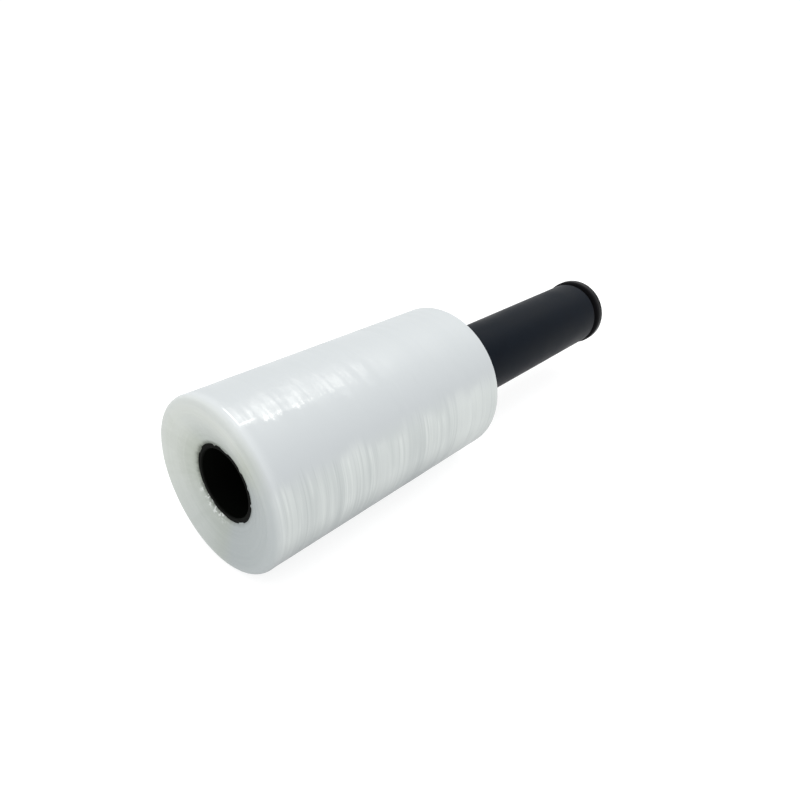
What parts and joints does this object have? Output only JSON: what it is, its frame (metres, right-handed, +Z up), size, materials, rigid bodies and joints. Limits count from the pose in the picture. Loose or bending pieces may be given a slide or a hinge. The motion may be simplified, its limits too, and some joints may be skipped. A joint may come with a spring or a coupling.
{
  "type": "hand stretch wrap roll",
  "caption": "Roll of clear stretch film on a long plastic core, with a turning grip sleeve and a flanged end plug on the core's bare end.",
  "frame": {"origin": "middle of the roll's whole length and width, on the surface that it lies on", "axes": "+X along the roll's axis from the film towards the grip, +Z up; the roll lies on its side on a small flat spot"},
  "size_m": [0.3132, 0.084, 0.0836],
  "materials": {
    "stretch_film": "clear cling film wound tight, milky in bulk, with a soft gloss",
    "core_plastic": "extruded black plastic, sawn end",
    "grip_plastic": "smooth matt black plastic",
    "plug_plastic": "moulded black plastic, satin"
  },
  "bodies": {
    "roll": {"film_roll": "stretch_film", "core_tube": "core_plastic", "end_plug": "plug_plastic"},
    "grip": {"grip_sleeve": "grip_plastic"}
  },
  "joints": [
    {"name": "grip_spin", "type": "hinge", "parent": "roll", "child": "grip", "pos_m": [0.07, 0, 0.04164], "axis": [1, 0, 0], "continuous": true}
  ]
}
